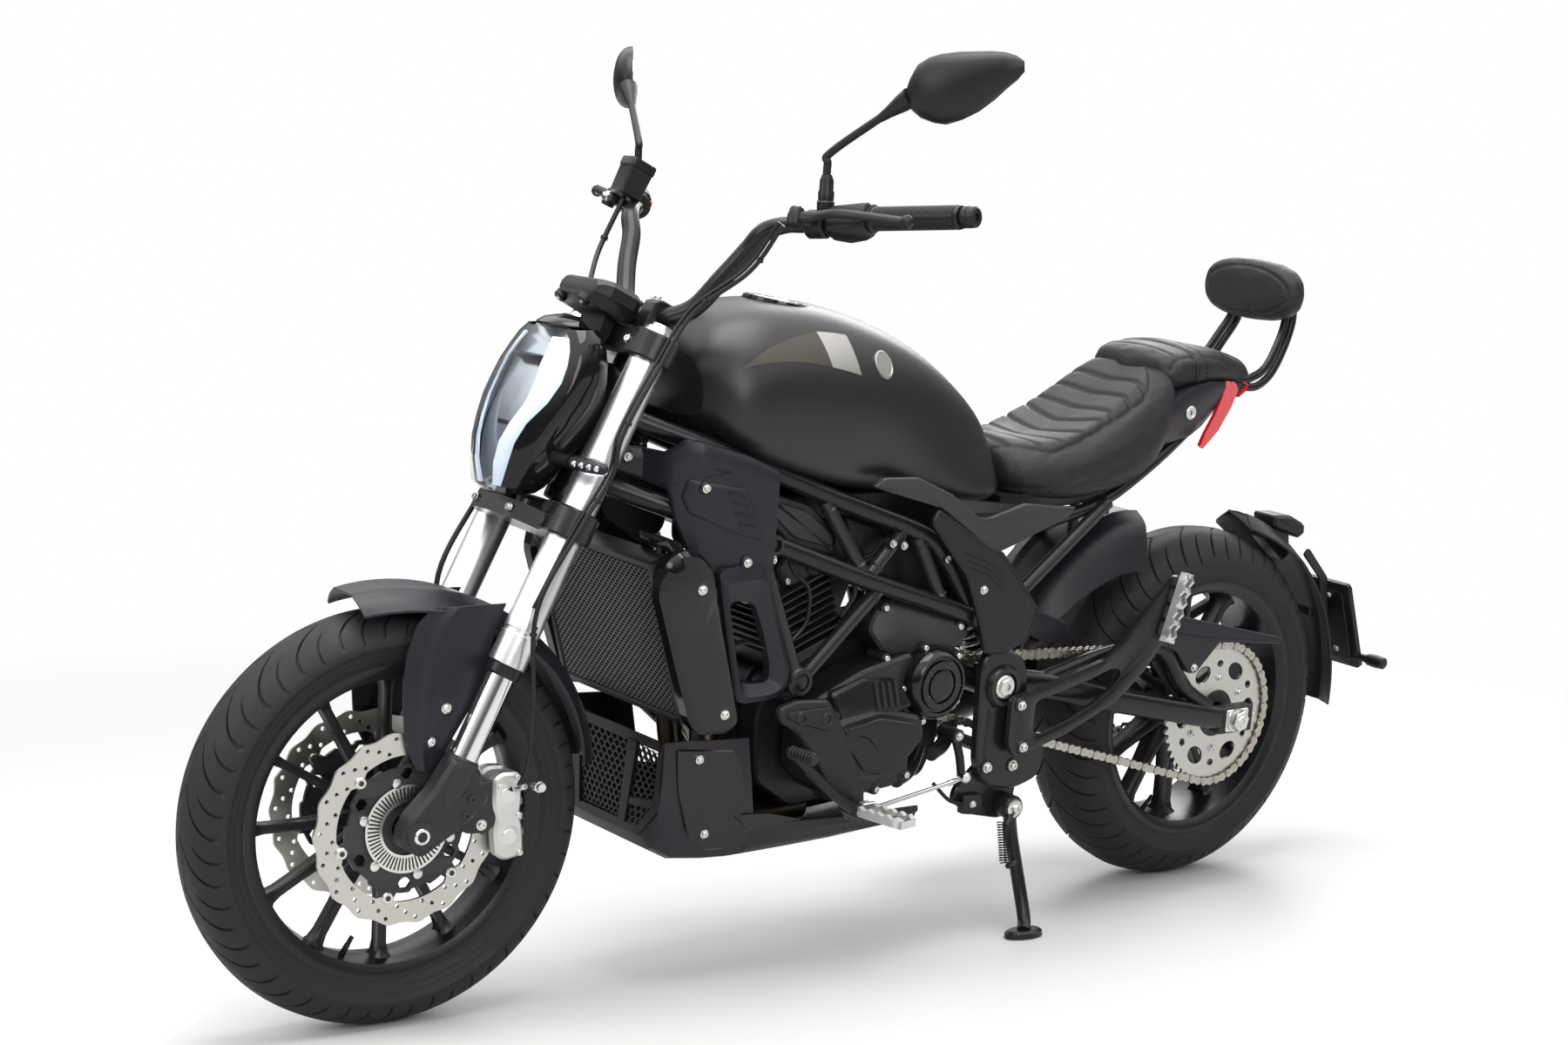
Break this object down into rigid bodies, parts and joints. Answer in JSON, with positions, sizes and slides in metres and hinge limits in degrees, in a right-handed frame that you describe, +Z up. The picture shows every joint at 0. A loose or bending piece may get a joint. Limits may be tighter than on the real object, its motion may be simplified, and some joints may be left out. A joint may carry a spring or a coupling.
{
  "type": "cruiser motorcycle",
  "caption": "Cruiser motorcycle with a trellis frame, cast wheels, chain drive and a stepped seat, standing on its side stand.",
  "frame": {"origin": "middle of the footprint, on the ground plane", "axes": "+X towards the front, +Y to the rider's left, +Z up; the machine leans to its left on its side stand"},
  "size_m": [2.3092, 1.0486, 1.4228],
  "materials": {
    "matt_black_paint": "matt",
    "satin_black_paint": "satin",
    "gloss_black": "gloss",
    "black_plastic": "matt",
    "tyre_rubber": "matt",
    "cast_alloy_black": "satin",
    "fork_silver": "satin",
    "brushed_steel": "brushed",
    "chain_steel": "satin",
    "black_leather": "grained",
    "clear_lens": "clear",
    "red_lens": "gloss",
    "exhaust_metal": "satin"
  },
  "bodies": {
    "frame": {"airbox": "black_plastic", "backrest_bracket": "matt_black_paint", "backrest_pad": "black_leather", "belly_pan": "matt_black_paint", "chain": "chain_steel", "chain_guard": "black_plastic", "cylinder_head": "cast_alloy_black", "engine": "cast_alloy_black", "exhaust": "exhaust_metal", "fairing_left": "black_plastic", "fairing_right": "black_plastic", "frame": "matt_black_paint", "inner_mudguard": "black_plastic", "passenger_peg_left": "matt_black_paint", "passenger_peg_right": "matt_black_paint", "passenger_seat": "black_leather", "pivot_plates": "matt_black_paint", "radiator": "gloss_black", "rear_axle": "brushed_steel", "rear_caliper": "cast_alloy_black", "rear_plate_arm": "black_plastic", "rear_shock": "brushed_steel", "rider_peg_left": "cast_alloy_black", "rider_peg_right": "cast_alloy_black", "rider_seat": "black_leather", "side_cover_left": "black_plastic", "side_cover_right": "black_plastic", "swingarm": "matt_black_paint", "tail_cowl": "black_plastic", "tail_lamp": "red_lens", "tank": "satin_black_paint"},
    "steering": {"brake_hose_right": "tyre_rubber", "cable_bundle_left": "tyre_rubber", "controls_left": "matt_black_paint", "controls_right": "matt_black_paint", "dash": "matt_black_paint", "fork_clamps": "matt_black_paint", "fork_leg_left": "fork_silver", "fork_leg_right": "fork_silver", "front_axle": "brushed_steel", "front_caliper_left": "fork_silver", "front_caliper_right": "fork_silver", "front_fender": "matt_black_paint", "handlebar": "matt_black_paint", "headlamp_housing": "gloss_black", "headlamp_lens": "clear_lens"},
    "front_wheel": {"front_disc_left": "brushed_steel", "front_disc_right": "brushed_steel", "front_tyre": "tyre_rubber", "front_wheel": "cast_alloy_black"},
    "rear_wheel": {"rear_disc": "brushed_steel", "rear_sprocket": "brushed_steel", "rear_tyre": "tyre_rubber", "rear_wheel": "cast_alloy_black"},
    "side_stand": {"side_stand": "matt_black_paint"}
  },
  "joints": [
    {"name": "steering_turn", "type": "hinge", "parent": "frame", "child": "steering", "pos_m": [0.8139, -0.14061, 0.27672], "axis": [-0.4391, 0.1095, 0.8918], "range_deg": [-21.5, 34.5]},
    {"name": "front_wheel_spin", "type": "hinge", "parent": "steering", "child": "front_wheel", "pos_m": [0.8572, -0.14349, 0.29839], "axis": [0.1018, 0.9922, -0.0718], "continuous": true},
    {"name": "rear_wheel_spin", "type": "hinge", "parent": "frame", "child": "rear_wheel", "pos_m": [-0.74253, -0.13656, 0.30852], "axis": [0.0001, 0.9925, -0.1219], "continuous": true},
    {"name": "side_stand_swing", "type": "hinge", "parent": "frame", "child": "side_stand", "pos_m": [-0.20845, 0.00979, 0.20432], "axis": [0.0001, 0.9925, -0.1219], "range_deg": [0, 95]}
  ]
}
